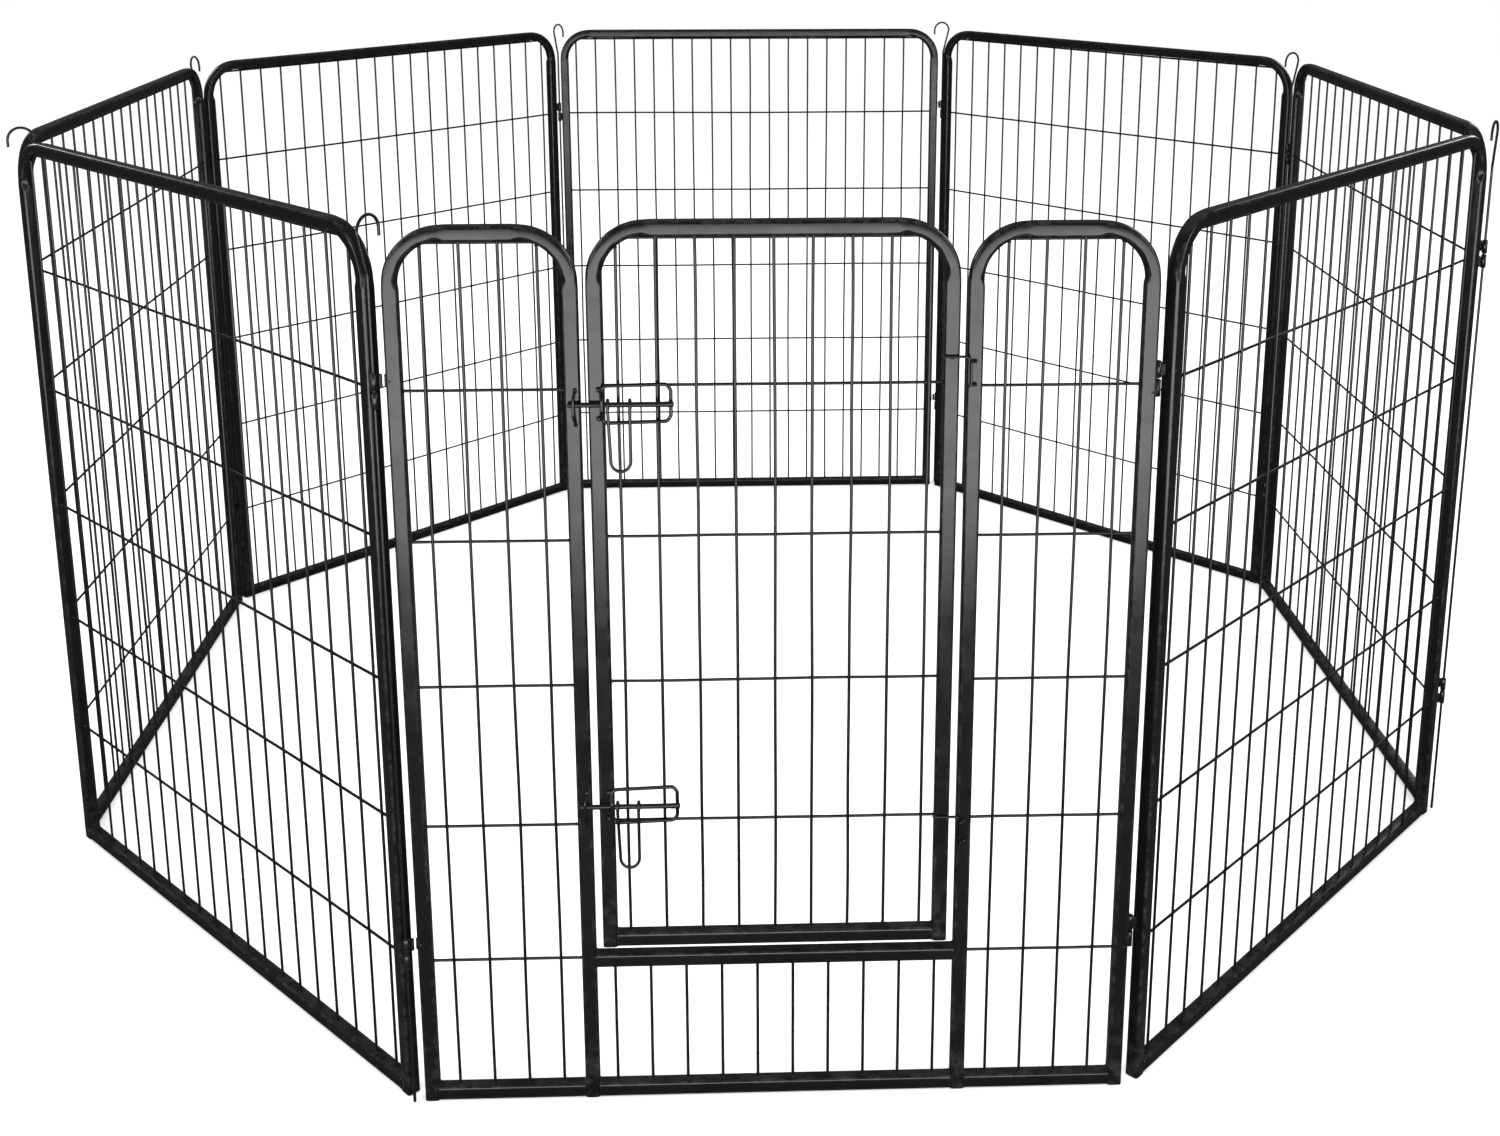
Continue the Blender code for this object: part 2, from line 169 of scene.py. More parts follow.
def unit(v):
    return v / np.maximum(np.linalg.norm(v, axis=-1, keepdims=True), 1e-12)


def path_frames(path, side, closed):
    """For each point of a path, two normals that turn with it as little as possible."""
    steps = unit(np.roll(path, -1, axis=0) - path)
    back = np.roll(steps, 1, axis=0)
    if not closed:
        steps[-1] = back[-1]
        back[0] = steps[0]
    ahead = unit(steps + back)
    first = []
    normal = np.array(side, float)
    for tangent in ahead:
        normal = unit(normal - tangent * (normal @ tangent))
        first.append(normal)
    first = np.array(first)
    if closed:
        tangent = ahead[0]
        last = unit(first[-1] - tangent * (first[-1] @ tangent))
        slip = math.atan2(np.cross(last, first[0]) @ tangent, last @ first[0])
        share = np.linspace(0, slip, len(path))[:, None]
        first = first * np.cos(share) + np.cross(ahead, first) * np.sin(share)
    return first, np.cross(ahead, first)


def sweep(shape, path, sections, side=(0, 1, 0), closed=False, slot=0, edge=None):
    """A closed skin along a path. Each section is a ring of (first, second) offsets in its plane."""
    path = np.asarray(path, float)
    count, size = len(path), sections.shape[-2]
    first, second = path_frames(path, side, closed)
    sections = np.broadcast_to(sections, (count, size, 2))
    points = (
        path[:, None]
        + sections[..., 0:1] * first[:, None]
        + sections[..., 1:2] * second[:, None]
    ).reshape(-1, 3)
    faces = []
    for i in range(count if closed else count - 1):
        here, there = i * size, (i + 1) % count * size
        for j in range(size):
            k = (j + 1) % size
            faces.append([here + j, here + k, there + k, there + j])
    if not closed:
        faces.append(list(range(size - 1, -1, -1)))
        faces.append(list(range((count - 1) * size, count * size)))
    worn = None if edge is None else np.broadcast_to(edge, (count, size)).ravel()
    shape.add(points, faces, slot, worn)


def circle(radius, sides):
    angle = np.arange(sides) * math.tau / sides
    return radius * np.stack([np.cos(angle), np.sin(angle)], axis=1)


def rounded(points, radius, steps=6, closed=False):
    """The path through some points with its corners turned into smooth bends of about that radius."""
    points = np.asarray(points, float)
    count = len(points)
    path = []
    for i in range(count):
        corner = points[i]
        if not closed and i in (0, count - 1):
            path.append(corner)
            continue
        before, after = points[i - 1] - corner, points[(i + 1) % count] - corner
        reach = [np.linalg.norm(before), np.linalg.norm(after)]
        half_turn = math.acos(np.clip(unit(before) @ unit(after), -1, 1)) / 2
        wanted = radius / max(math.tan(half_turn), 0.2)
        reach = min(wanted, reach[0] * 0.48, reach[1] * 0.48)
        start, stop = corner + unit(before) * reach, corner + unit(after) * reach
        for t in np.linspace(0, 1, steps + 1):
            path.append((1 - t) ** 2 * start + 2 * t * (1 - t) * corner + t * t * stop)
    return np.array(path)


def finely(path, step, closed=False):
    """The same path with a point at least every step."""
    path = np.asarray(path, float)
    if closed:
        path = np.vstack([path, path[:1]])
    along = np.concatenate([[0], np.cumsum(np.linalg.norm(np.diff(path, axis=0), axis=1))])
    extra = np.linspace(0, along[-1], int(along[-1] / step) + 2)
    places = np.unique(np.concatenate([along, extra]))
    places = places[np.diff(places, prepend=-1) > LEAST_STEP]
    if closed:
        places = places[places < along[-1] - LEAST_STEP]
    return np.stack([np.interp(places, along, path[:, k]) for k in range(3)], axis=1)


def rod(shape, path, radius, sides=12, closed=False, slot=0, side=(0, 1, 0.01), rounding=0.3):
    """A round wire whose cut ends have softened rims."""
    path = np.asarray(path, float)
    ring = circle(radius, sides)
    if closed:
        sweep(shape, path, ring, side, True, slot)
        return
    ends = []
    for tip, inner in ((path[0], path[1]), (path[-1], path[-2])):
        inward = unit(inner - tip) * radius
        ends.append([tip, tip + inward * rounding * 0.4, tip + inward * rounding])
    path = np.vstack([ends[0], path[1:-1], ends[1][::-1]])
    scale = np.ones(len(path))
    scale[[0, -1]], scale[[1, -2]] = 1 - rounding, 1 - rounding * 0.3
    sweep(shape, path, ring[None] * scale[:, None, None], side, False, slot)


def ball_template(rows=5, around=8):
    """Points and faces of a small unit ball."""
    points = [(0, 0, 1)]
    for row in range(1, rows):
        polar = math.pi * row / rows
        for step in range(around):
            angle = math.tau * step / around
            points.append(
                (math.sin(polar) * math.cos(angle), math.sin(polar) * math.sin(angle), math.cos(polar))
            )
    points.append((0, 0, -1))
    faces = [[0, 1 + j, 1 + (j + 1) % around] for j in range(around)]
    for row in range(rows - 2):
        for j in range(around):
            k = (j + 1) % around
            here, there = 1 + row * around, 1 + (row + 1) * around
            faces.append([here + j, there + j, there + k, here + k])
    low = 1 + (rows - 2) * around
    faces += [[low + (j + 1) % around, low + j, len(points) - 1] for j in range(around)]
    return np.array(points), faces


BALL = ball_template()


def blob(shape, centre, radii, rng, rough=0.12, slot=SLOT_WELD):
    """A lump of weld, a little out of round."""
    points, faces = BALL
    swell = 1 + rough * rng.uniform(-1, 1, (len(points), 1))
    shape.add(points * swell * np.array(radii) + np.array(centre), faces, slot)


def weld_bead(shape, path, radius, rng, closed=False, ripple=0.0016, slot=SLOT_WELD):
    """A run of weld with the overlapping ripples that a torch leaves."""
    path = finely(path, ripple / 3, closed)
    along = np.arange(len(path)) / 3
    swell = 0.88 + 0.16 * np.abs(np.sin(math.pi * along)) + 0.05 * rng.uniform(-1, 1, len(path))
    if not closed:
        swell[[0, -1]] *= 0.45
        swell[[1, -2]] *= 0.8
    sweep(shape, path, circle(radius, 7)[None] * swell[:, None, None], (0.1, 1, 0.2), closed, slot)


# ---------------------------------------------------------------- tube frames

def tube_outline():
    """(offsets, edge wear) round a square tube: rounded corners, and flats with a slight crown."""
    flat = HALF - TUBE_CORNER
    side = [-flat + 0.0008, -flat / 2, 0.0, flat / 2, flat - 0.0008]
    points, edge = [], []
    for quarter in range(4):
        spin = np.array(Matrix.Rotation(quarter * math.pi / 2, 2))
        for place in side:
            bulge = CROWN * (1 - (place / flat) ** 2)
            points.append(spin @ (HALF + bulge, place))
            edge.append(0.0)
        for step in range(5):
            angle = step * math.pi / 8
            corner = (flat + TUBE_CORNER * math.cos(angle), flat + TUBE_CORNER * math.sin(angle))
            points.append(spin @ corner)
            edge.append((0.35, 0.85, 1.0, 0.85, 0.35)[step])
    return np.array(points), np.array(edge)


OUTLINE, OUTLINE_EDGE = tube_outline()


def collapsed(amount, ripple):
    """The tube's outline where a bend has crushed it, its inner wall towards -first."""
    first, second = OUTLINE[:, 0].copy(), OUTLINE[:, 1].copy()
    inner = np.clip(-first / HALF, 0, 1) ** 1.5
    edge = np.clip(np.abs(second) / HALF, 0, 1) ** 1.4
    first += amount * inner * CRUSH * edge * (1 + 0.10 * ripple)
    outer = np.clip(first / HALF, 0, 1) ** 2
    first -= amount * outer * 0.0011 * (np.abs(second) / HALF) ** 2
    second *= 1 + amount * (0.03 * inner - 0.05 * outer)
    return np.stack([first, second], axis=1)


def ramp(x):
    x = np.clip(x, 0, 1)
    return x * x * (3 - 2 * x)


def arch_path(left, right, foot, top):
    """Points up the left post, over two bends and down the right post, with each point's crush."""
    radius = BEND - HALF
    bend = radius * math.pi / 2
    rise, across = top - BEND - foot, right - left - 2 * BEND
    starts = (rise, rise + bend + across)
    length = 2 * rise + 2 * bend + across
    coarse = list(np.linspace(0, rise - 0.02, 9)) + list(np.linspace(length - rise + 0.02, length, 9))
    coarse += list(np.linspace(starts[0] + bend + 0.02, starts[1] - 0.02, max(3, int(across / 0.1) + 1)))
    near_bend = np.arange(-BEND_MARGIN, bend + BEND_MARGIN + 0.0001, BEND_STEP)
    fine = [start + x for start in starts for x in near_bend]
    path, crush = [], []
    for s in sorted(coarse + fine):
        if s <= starts[0]:
            place = (left + HALF, foot + s)
        elif s <= starts[0] + bend:
            angle = math.pi - (s - starts[0]) / radius
            place = (left + BEND + radius * math.cos(angle), top - BEND + radius * math.sin(angle))
        elif s <= starts[1]:
            place = (left + BEND + s - starts[0] - bend, top - HALF)
        elif s <= starts[1] + bend:
            angle = math.pi / 2 - (s - starts[1]) / radius
            place = (right - BEND + radius * math.cos(angle), top - BEND + radius * math.sin(angle))
        else:
            place = (right - HALF, foot + length - s)
        path.append((place[0], 0.0, place[1]))
        amount = 0.0
        for start in starts:
            into = min(s - start, start + bend - s) + COLLAPSE_REACH
            notch = 0.3 * math.exp(-((into / 0.005 - 1.6) ** 2))
            amount = max(amount, ramp(into / (2 * COLLAPSE_REACH)) + notch)
        crush.append(amount)
    return np.array(path), np.array(crush)


def arch(shape, left, right, foot, top, rng):
    """A bent tube with open feet. Its bends are crushed on the inside, as a cheap bender leaves them."""
    path, crush = arch_path(left, right, foot, top)
    phase = rng.uniform(0, math.tau)
    ripple = np.sin(np.arange(len(path)) * 0.85 + phase)
    crush = crush * (1 + 0.08 * rng.uniform(-1, 1))
    sections = np.array([collapsed(c, r) for c, r in zip(crush, ripple)])
    inner = OUTLINE * (1 - WALL / HALF)
    up = np.array((0, 0, BORE_DEPTH))
    start, end = path[0], path[-1]
    path = np.vstack([start + up, start + up * 0.02, start, path[1:-1], end, end + up * 0.02, end + up])
    foot_rings = np.array([inner * 0.999, inner, OUTLINE])
    sections = np.concatenate([foot_rings, sections[1:-1], foot_rings[::-1]])
    hollow_sweep(shape, path, sections)


def hollow_sweep(shape, path, sections):
    """A tube's skin that turns in at each foot, so that both ends read as open."""
    turned = path.copy()
    turned[[0, 1]] = turned[2] + np.array([[0, 0, -0.002], [0, 0, -0.001]])
    turned[[-1, -2]] = turned[-3] + np.array([[0, 0, -0.002], [0, 0, -0.001]])
    first, second = path_frames(turned, (-1, 0, 0), False)
    count, size = len(path), sections.shape[1]
    points = path[:, None] + sections[..., 0:1] * first[:, None] + sections[..., 1:2] * second[:, None]
    faces = []
    for i in range(count - 1):
        for j in range(size):
            k = (j + 1) % size
            faces.append([i * size + j, i * size + k, (i + 1) * size + k, (i + 1) * size + j])
    caps = [list(range(size - 1, -1, -1)), list(range((count - 1) * size, count * size))]
    edge = np.tile(OUTLINE_EDGE, (count, 1))
    edge[[2, -3]] = 1.0
    edge[[0, 1, -1, -2]] = 0.0
    outer = faces[size:-size]
    base = shape.count
    shape.add(points.reshape(-1, 3), outer, SLOT_COAT, edge.ravel())
    inside = faces[:size] + faces[-size:] + caps
    shape.faces += [[i + base for i in face] for face in inside]
    shape.slots += [SLOT_BORE] * len(inside)


def rail(shape, x_from, x_to, z, rng, shy=0.0001):
    """A straight tube along X, with a run of weld round each end."""
    steps = np.linspace(x_from, x_to, max(2, int((x_to - x_from) / 0.08)))
    path = np.array([(x, 0, z) for x in steps])
    sweep(shape, path, OUTLINE * (1 - shy / HALF), (0, 0, -1), False, SLOT_COAT, OUTLINE_EDGE)
    for x, inward in ((x_from, 1), (x_to, -1)):
        ring = [(x + inward * 0.0004, a * 0.96, max(z + b * 0.93, 0.0016)) for a, b in OUTLINE[::2]]
        weld_bead(shape, ring, 0.0011, rng, closed=True)


def sleeve(shape, x, y, foot, sides=18):
    """A short round sleeve with a bore through it."""
    soft = 0.0004
    profile = [
        (SLEEVE_BORE, soft), (SLEEVE_BORE + soft, 0), (SLEEVE - soft, 0), (SLEEVE, soft),
        (SLEEVE, SLEEVE_LENGTH - soft), (SLEEVE - soft, SLEEVE_LENGTH),
        (SLEEVE_BORE + soft, SLEEVE_LENGTH), (SLEEVE_BORE, SLEEVE_LENGTH - soft),
    ]
    points, faces = [], []
    for step in range(sides):
        angle = math.tau * step / sides
        points += [(x + r * math.cos(angle), y + r * math.sin(angle), foot + z) for r, z in profile]
    size = len(profile)
    for i in range(sides):
        for j in range(size):
            k, there = (j + 1) % size, (i + 1) % sides
            faces.append([i * size + j, there * size + j, there * size + k, i * size + k])
    shape.add(np.array(points), faces, SLOT_COAT, np.tile([0.4, 1, 1, 0.4] * 2, sides))


def hinge_line(side, outward):
    """Where a panel's hinge line stands: outward is 1 on the ring's outer face, -1 on its inner one."""
    corner = SIDE_GAP + stand_half
    return side * (corner + outward * HINGE_OFFSET * math.tan(TURN / 2)), -outward * HINGE_OFFSET


def hinge_sleeves(shape, side, outward, raised, rng):
    """Two sleeves beside a post, each held by a run of weld with a round tack beside it."""
    x, y = hinge_line(side, outward)
    for pair in SLEEVE_PAIRS:
        foot = pair + raised * SLEEVE_PITCH
        sleeve(shape, x, y, foot)
        post = side * stand_half
        web = ((x * 0.45 + post * 0.55), y + outward * 0.0032)
        path = [(web[0], web[1], foot + 0.0015), (web[0], web[1], foot + SLEEVE_LENGTH - 0.0015)]
        weld_bead(shape, path, 0.0022, rng, ripple=0.0022)
        path = [(post + side * 0.0003, web[1] + outward * 0.0016, foot + 0.002),
                (post + side * 0.0003, web[1] + outward * 0.0016, foot + SLEEVE_LENGTH - 0.002)]
        weld_bead(shape, path, 0.0014, rng)
        tack = (side * (stand_half - 0.0042), -HALF + 0.0001, foot + SLEEVE_LENGTH / 2)
        blob(shape, tack, (0.0015, 0.0007, 0.0015), rng, rough=0.05)


# ---------------------------------------------------------------- wire mesh

def drawn_wire(start, end, rng, sway=SWAY):
    """Points along a wire that isn't quite straight, though its ends are where they should be."""
    start, end = np.array(start, float), np.array(end, float)
    length = np.linalg.norm(end - start)
    t = np.linspace(0, 1, max(3, int(length / WIRE_STEP)) + 1)
    lead = unit(end - start)
    across = unit(np.cross(lead, (0, 1, 0)))
    path = start + t[:, None] * (end - start)
    reach = min(1.0, length / 0.5)
    for k in range(1, 8):
        wave = np.sin(math.pi * k * t)[:, None] * sway * reach / k**0.8
        path = path + wave * rng.normal() * 0.55 * across + wave * rng.normal() * 0.12 * np.array((0, 1, 0))
    return path


def top_of_wire(x, left, right, top):
    """Height at which an upright wire meets the frame: under its top tube, or inside a bend."""
    past = max(left + BEND - x, x - right + BEND, 0)
    if past == 0:
        return top - TUBE
    reach = BEND - TUBE
    return top - BEND + math.sqrt(reach**2 - past**2)


def grille(shape, uprights, levels, left, right, foot, top, rng):
    """Uprights on the outer side and cross wires on the inner side, welded where they cross."""
    ring = circle(WIRE, WIRE_SIDES)
    lines = []
    for x in uprights:
        end = top_of_wire(x, left, right, top)
        line = drawn_wire((x, -WIRE_LAYER, foot + TUBE - BITE), (x, -WIRE_LAYER, end + BITE), rng)
        lines.append(line)
        sweep(shape, line, ring, (0, 1, 0), False, SLOT_WIRE)
        blob(shape, (line[0][0], -WIRE_LAYER, foot + TUBE), FOOT_NUGGET, rng)
        blob(shape, (line[-1][0], -WIRE_LAYER, end), HEAD_NUGGET, rng)
    for z in levels:
        start, stop = (left + TUBE - BITE, WIRE_LAYER, z), (right - TUBE + BITE, WIRE_LAYER, z)
        cross = drawn_wire(start, stop, rng, sway=SWAY * 0.8)
        sweep(shape, cross, ring, (0, 1, 0), False, SLOT_WIRE)
        blob(shape, (left + TUBE, WIRE_LAYER, z), SIDE_NUGGET, rng)
        blob(shape, (right - TUBE, WIRE_LAYER, z), SIDE_NUGGET, rng)
        for line in lines:
            x = np.interp(z, line[:, 2], line[:, 0])
            height = np.interp(x, cross[:, 0], cross[:, 2])
            blob(shape, (x, 0, height), CROSS_NUGGET, rng)


def head_wire(shape, left, right, top, rng):
    """The topmost cross wire, tucked under the tube and let into the bends at both ends."""
    z = top - TUBE - HEAD_WIRE_DROP
    reach = BEND - HEAD_WIRE_REACH
    cross = drawn_wire((left + reach, WIRE_LAYER, z), (right - reach, WIRE_LAYER, z), rng, sway=SWAY * 0.3)
    sweep(shape, cross, circle(WIRE, WIRE_SIDES), (0, 1, 0), False, SLOT_WIRE)
    for end in (cross[0], cross[-1]):
        blob(shape, tuple(end), BEND_NUGGET, rng)


# ---------------------------------------------------------------- materials

class Nodes:
    """A material's node tree, with short ways to add what a coat needs."""

    def __init__(self, name, material=None):
        self.material = material or bpy.data.materials.new(name)
        self.material.use_nodes = True
        self.tree = self.material.node_tree
        self.shader = self.tree.nodes["Principled BSDF"]
        self.place = self.tree.nodes.new("ShaderNodeTexCoord").outputs["Object"]

    def plug(self, value, socket):
        if isinstance(value, bpy.types.NodeSocket):
            self.tree.links.new(value, socket)
        else:
            socket.default_value = value

    def noise(self, scale, detail=3.0, roughness=0.55):
        node = self.tree.nodes.new("ShaderNodeTexNoise")
        self.tree.links.new(self.place, node.inputs["Vector"])
        node.inputs["Scale"].default_value = scale
        node.inputs["Detail"].default_value = detail
        node.inputs["Roughness"].default_value = roughness
        return node.outputs["Fac"]

    def spread(self, value, low, high, to_low, to_high):
        node = self.tree.nodes.new("ShaderNodeMapRange")
        node.interpolation_type = "SMOOTHSTEP"
        for name, setting in zip(("From Min", "From Max", "To Min", "To Max"), (low, high, to_low, to_high)):
            node.inputs[name].default_value = setting
        self.plug(value, node.inputs["Value"])
        return node.outputs["Result"]

    def math(self, operation, a, b):
        node = self.tree.nodes.new("ShaderNodeMath")
        node.operation = operation
        self.plug(a, node.inputs[0])
        self.plug(b, node.inputs[1])
        return node.outputs[0]

    def mix(self, share, a, b):
        node = self.tree.nodes.new("ShaderNodeMix")
        node.data_type = "RGBA"
        self.plug(share, node.inputs["Factor"])
        self.plug((*a, 1) if isinstance(a, tuple) else a, node.inputs["A"])
        self.plug((*b, 1) if isinstance(b, tuple) else b, node.inputs["B"])
        return node.outputs["Result"]

    def attribute(self, name):
        node = self.tree.nodes.new("ShaderNodeAttribute")
        node.attribute_name = name
        return node.outputs["Fac"]

    def upward(self):
        """How far the surface faces the sky."""
        geometry = self.tree.nodes.new("ShaderNodeNewGeometry")
        parts = self.tree.nodes.new("ShaderNodeSeparateXYZ")
        self.tree.links.new(geometry.outputs["Normal"], parts.inputs[0])
        return parts.outputs["Z"]

    def bump(self, height, distance, strength=1.0, under=None):
        node = self.tree.nodes.new("ShaderNodeBump")
        node.inputs["Distance"].default_value = distance
        node.inputs["Strength"].default_value = strength
        self.plug(height, node.inputs["Height"])
        if under:
            self.tree.links.new(under, node.inputs["Normal"])
        return node.outputs["Normal"]


def powder_coat(name, colour, gloss, peel_scale=420.0, lumps=0.0, wear=0.55):
    """Semi-gloss black powder coat: orange peel, cloudy gloss, thin coat on edges and a film of dust."""
    n = Nodes(name)
    dark = tuple(c * 0.72 for c in colour)
    cloud = n.spread(n.noise(9.0, 4.0), 0.35, 0.68, 0.0, 1.0)
    base = n.mix(cloud, dark, colour)
    speck = n.spread(n.noise(2600.0, 2.0), 0.60, 0.74, 0.0, 0.35)
    base = n.mix(speck, base, tuple(c * 2.6 for c in colour))
    thin = n.math("MULTIPLY", n.attribute("edge"), n.spread(n.noise(85.0, 5.0, 0.7), 0.44, 0.66, 0.0, wear))
    base = n.mix(thin, base, (0.030, 0.029, 0.028))
    level = n.spread(n.upward(), 0.55, 0.98, 0.0, 1.0)
    film = n.spread(n.noise(38.0, 6.0, 0.7), 0.36, 0.70, 0.0, 0.05)
    dust = n.math("MULTIPLY", level, film)
    base = n.mix(dust, base, (0.22, 0.215, 0.20))
    n.plug(base, n.shader.inputs["Base Color"])
    satin = n.spread(n.noise(22.0, 5.0, 0.65), 0.30, 0.72, gloss - 0.05, gloss + 0.07)
    satin = n.math("ADD", satin, n.math("MULTIPLY", dust, 1.6))
    scuff = n.spread(n.noise(190.0, 6.0, 0.8), 0.60, 0.76, 0.0, 0.10)
    n.plug(n.math("ADD", satin, scuff), n.shader.inputs["Roughness"])
    normal = n.bump(n.noise(peel_scale, 2.0, 0.45), 0.0003, 0.06)
    normal = n.bump(n.noise(60.0, 3.0), 0.0006, 0.07, normal)
    if lumps:
        normal = n.bump(n.noise(900.0, 4.0, 0.7), 0.0006, lumps, normal)
    n.plug(normal, n.shader.inputs["Normal"])
    n.shader.inputs["Specular IOR Level"].default_value = 0.5
    return n.material


def rubbed_coat(name, colour, gloss):
    """Coat on sliding wires, rubbed through to dull steel in short streaks along them."""
    material = powder_coat(name, colour, gloss, peel_scale=800.0, wear=0.3)
    n = Nodes(name, material)
    stretch = n.tree.nodes.new("ShaderNodeMapping")
    stretch.inputs["Scale"].default_value = (0.18, 1.0, 1.0)
    n.tree.links.new(n.place, stretch.inputs["Vector"])
    n.place = stretch.outputs["Vector"]
    rub = n.spread(n.noise(420.0, 6.0, 0.75), 0.585, 0.70, 0.0, 0.55)
    base = n.shader.inputs["Base Color"].links[0].from_socket
    n.plug(n.mix(rub, base, (0.11, 0.11, 0.112)), n.shader.inputs["Base Color"])
    n.plug(n.math("MULTIPLY", rub, 0.8), n.shader.inputs["Metallic"])
    return material


def bare_bore(name):
    """Uncoated steel inside a tube's foot, with a bloom of rust."""
    n = Nodes(name)
    rust = n.spread(n.noise(140.0, 6.0, 0.7), 0.46, 0.66, 0.0, 0.6)
    n.plug(n.mix(rust, (0.035, 0.035, 0.036), (0.06, 0.032, 0.018)), n.shader.inputs["Base Color"])
    n.plug(n.spread(rust, 0.0, 0.6, 0.5, 0.85), n.shader.inputs["Roughness"])
    n.plug(n.bump(n.noise(700.0, 4.0), 0.0004, 0.2), n.shader.inputs["Normal"])
    return n.material


# ---------------------------------------------------------------- places from the frame

def corners(names):
    """Every point of some CAD nodes at rest."""
    return np.concatenate([[v.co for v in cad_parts[name].data.vertices] for name in names])


def stand(index):
    """A panel's own frame, worked out from its feet, and the half width between their outer sides."""
    names = ("gate_left_section", "gate_right_section") if index == 0 else (PANELS[index],)
    turn = Matrix.Rotation(-TURN * index, 3, "Z")
    points = corners(names)
    feet = points[points[:, 2] < points[:, 2].min() + 0.0005] @ np.array(turn)
    low, high = feet.min(0), feet.max(0)
    middle = turn @ Vector(((low[0] + high[0]) / 2, (low[1] + high[1]) / 2, 0))
    return Matrix.Translation(middle) @ turn.to_4x4(), (high[0] - low[0]) / 2


def outward_of(joint):
    """Hinge lines alternate: 1 on the ring's outer face, -1 on its inner face."""
    return 1 if joint % 2 == 0 else -1


def spread(count, pitch):
    return [pitch * (i - (count - 1) / 2) for i in range(count)]


def build_panel(index, coats):
    """A mesh panel: its bent tube, bottom rail and hinge sleeves, and its welded wires."""
    name = PANELS[index]
    place, half = stand(index)
    rng = np.random.default_rng(100 + index)
    shape = Shape()
    arch(shape, -half, half, 0, top_height, rng)
    rail(shape, -half + TUBE, half - TUBE, HALF, rng)
    outward = outward_of(index - 1)
    hinge_sleeves(shape, 1, outward, 0, rng)
    hinge_sleeves(shape, -1, -outward, 1, rng)
    shape.piece(f"{name}_frame", place, coats, name, [name])
    mesh = Shape()
    grille(mesh, spread(VERTICALS, VERTICAL_PITCH), LEVELS, -half, half, 0, top_height, rng)
    head_wire(mesh, -half, half, top_height, rng)
    mesh.piece(f"{name}_mesh", place, coats, name, [name])


def build_gate(coats):
    """The gate's two fixed sections and the sill between them."""
    place, half = stand(0)
    for side, name in ((-1, "gate_left_section"), (1, "gate_right_section")):
        rng = np.random.default_rng(10 + side)
        left, right = sorted((side * half, side * SECTION_IN))
        shape = Shape()
        arch(shape, left, right, 0, top_height, rng)
        rail(shape, left + TUBE, right - TUBE, HALF, rng)
        joint = 0 if side < 0 else len(PANELS) - 1
        hinge_sleeves(shape, side, outward_of(joint), 1 if side < 0 else 0, rng)
        shape.piece(f"{name}_frame", place, coats, "gate", [name])
        mesh = Shape()
        grille(mesh, [side * x for x in SECTION_WIRES], LEVELS, left, right, 0, top_height, rng)
        head_wire(mesh, left, right, top_height, rng)
        mesh.piece(f"{name}_mesh", place, coats, "gate", [name])
    rng = np.random.default_rng(20)
    shape = Shape()
    rail(shape, -SECTION_IN, SECTION_IN, HALF, rng)
    rail(shape, -SECTION_IN, SECTION_IN, SILL, rng)
    shape.piece("gate_lower_section_rails", place, coats, "gate", ["gate_lower_section"])
    mesh = Shape()
    for x in spread(SILL_WIRES, SILL_PITCH):
        line = drawn_wire((x, 0, TUBE - BITE), (x, 0, SILL - HALF + BITE), rng, sway=SWAY * 0.5)
        sweep(mesh, line, circle(WIRE, WIRE_SIDES), (0, 1, 0), False, SLOT_WIRE)
        for z in (TUBE, SILL - HALF):
            blob(mesh, (x, 0, z), FOOT_NUGGET, rng)
    mesh.piece("gate_lower_section_wires", place, coats, "gate", ["gate_lower_section"])


def build_door(coats):
    """The door's own tube frame and wires."""
    place = stand(0)[0]
    points = corners(["door"]) - np.array(place.translation)
    (left, _, foot), (right, _, top) = points.min(0), points.max(0)
    rng = np.random.default_rng(30)
    shape = Shape()
    arch(shape, left, right, foot, top, rng)
    rail(shape, left + TUBE, right - TUBE, foot + HALF, rng)
    shape.piece("door_frame", place, coats, "door", ["door"])
    mesh = Shape()
    levels = [z + DOOR_LIFT for z in LEVELS[1:]]
    grille(mesh, spread(DOOR_WIRES, DOOR_PITCH), levels, left, right, foot, top, rng)
    head_wire(mesh, left, right, top, rng)
    mesh.piece("door_mesh", place, coats, "door", ["door"])


# ---------------------------------------------------------------- hardware

def build_rod(index, coats):
    """A hinge rod: straight through its sleeves, leaning back, then turned over in a crook."""
    name = f"hinge_rod_{index}"
    points = corners([name])
    foot_z = points[:, 2].min()
    low_end = points[points[:, 2] < foot_z + 0.0005]
    foot = (low_end.min(0) + low_end.max(0)) / 2
    away = points[:, :2] - foot[:2]
    tip = away[np.argmax(np.linalg.norm(away, axis=1))]
    heading = math.atan2(tip[1], tip[0])
    crown = points[:, 2].max() - ROD
    height = top_height
    centre_x, centre_z = CROOK - CROOK_BACK, crown - CROOK
    path = [(0, 0, z) for z in np.linspace(foot_z, height + LEAN_START - 0.004, 16)]
    knee = [path[-1], (0, 0, height + LEAN_START + 0.003), (-CROOK_BACK, 0, height + LEAN_END)]
    lean = rounded(knee, 0.02, 8)
    path += [tuple(p) for p in lean[1:-1]]
    for angle in np.linspace(math.pi, 0, 19):
        path.append((centre_x + CROOK * math.cos(angle), 0, centre_z + CROOK * math.sin(angle)))
    path.append((centre_x + CROOK, 0, (centre_z + height + CROOK_END) / 2))
    path.append((centre_x + CROOK, 0, height + CROOK_END))
    shape = Shape()
    rod(shape, finely(path, 0.02), ROD, 14, slot=SLOT_COAT)
    place = Matrix.Translation((foot[0], foot[1], 0)) @ Matrix.Rotation(heading, 4, "Z")
    shape.piece(f"{name}_wire", place, coats, name, [name])


